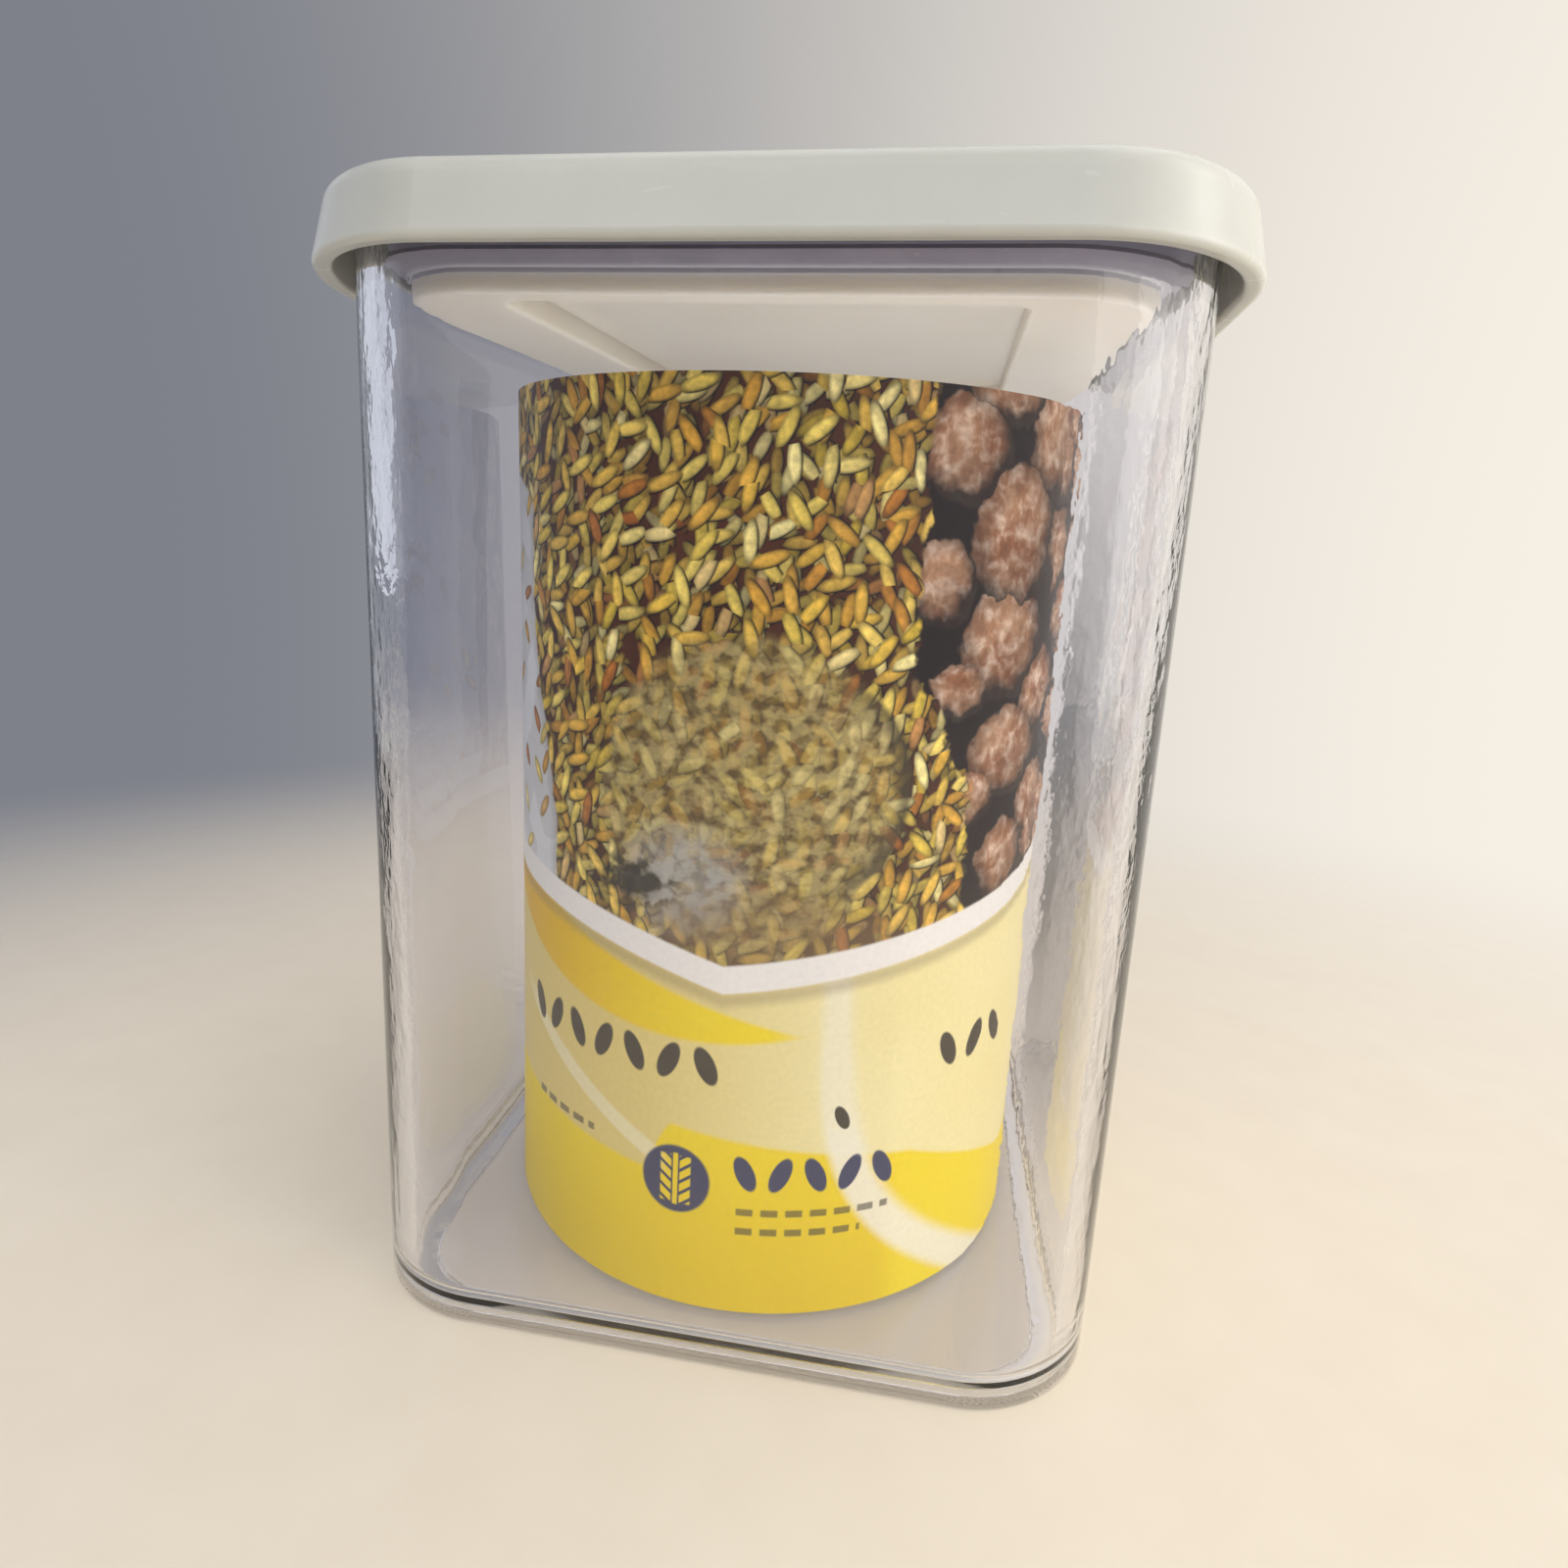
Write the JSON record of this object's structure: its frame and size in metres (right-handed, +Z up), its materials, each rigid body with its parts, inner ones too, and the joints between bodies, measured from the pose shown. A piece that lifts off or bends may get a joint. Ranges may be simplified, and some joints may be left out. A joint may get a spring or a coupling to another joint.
{
  "type": "dry food storage canister",
  "caption": "Square clear canister with rounded upright corners, a push-on lid with plug and soft gasket, and a rolled printed card insert standing inside.",
  "frame": {"origin": "on the resting surface, under the centre of the canister", "axes": "+Z up, along which the lid lifts off; the front face looks along -Y and +X is to the right"},
  "size_m": [0.108, 0.108, 0.1408],
  "materials": {
    "clear_plastic": "gloss",
    "lid_plastic": "satin",
    "liner_plastic": "satin",
    "silicone": "satin",
    "printed_card": "satin"
  },
  "bodies": {
    "canister": {"canister_body": "clear_plastic", "card_insert": "printed_card"},
    "lid": {"lid_cover": "lid_plastic", "lid_liner": "liner_plastic", "lid_gasket": "silicone"}
  },
  "joints": [
    {"name": "lid_lift", "type": "slide", "parent": "canister", "child": "lid", "axis": [0, 0, 1], "range_m": [0, 0.15]}
  ]
}
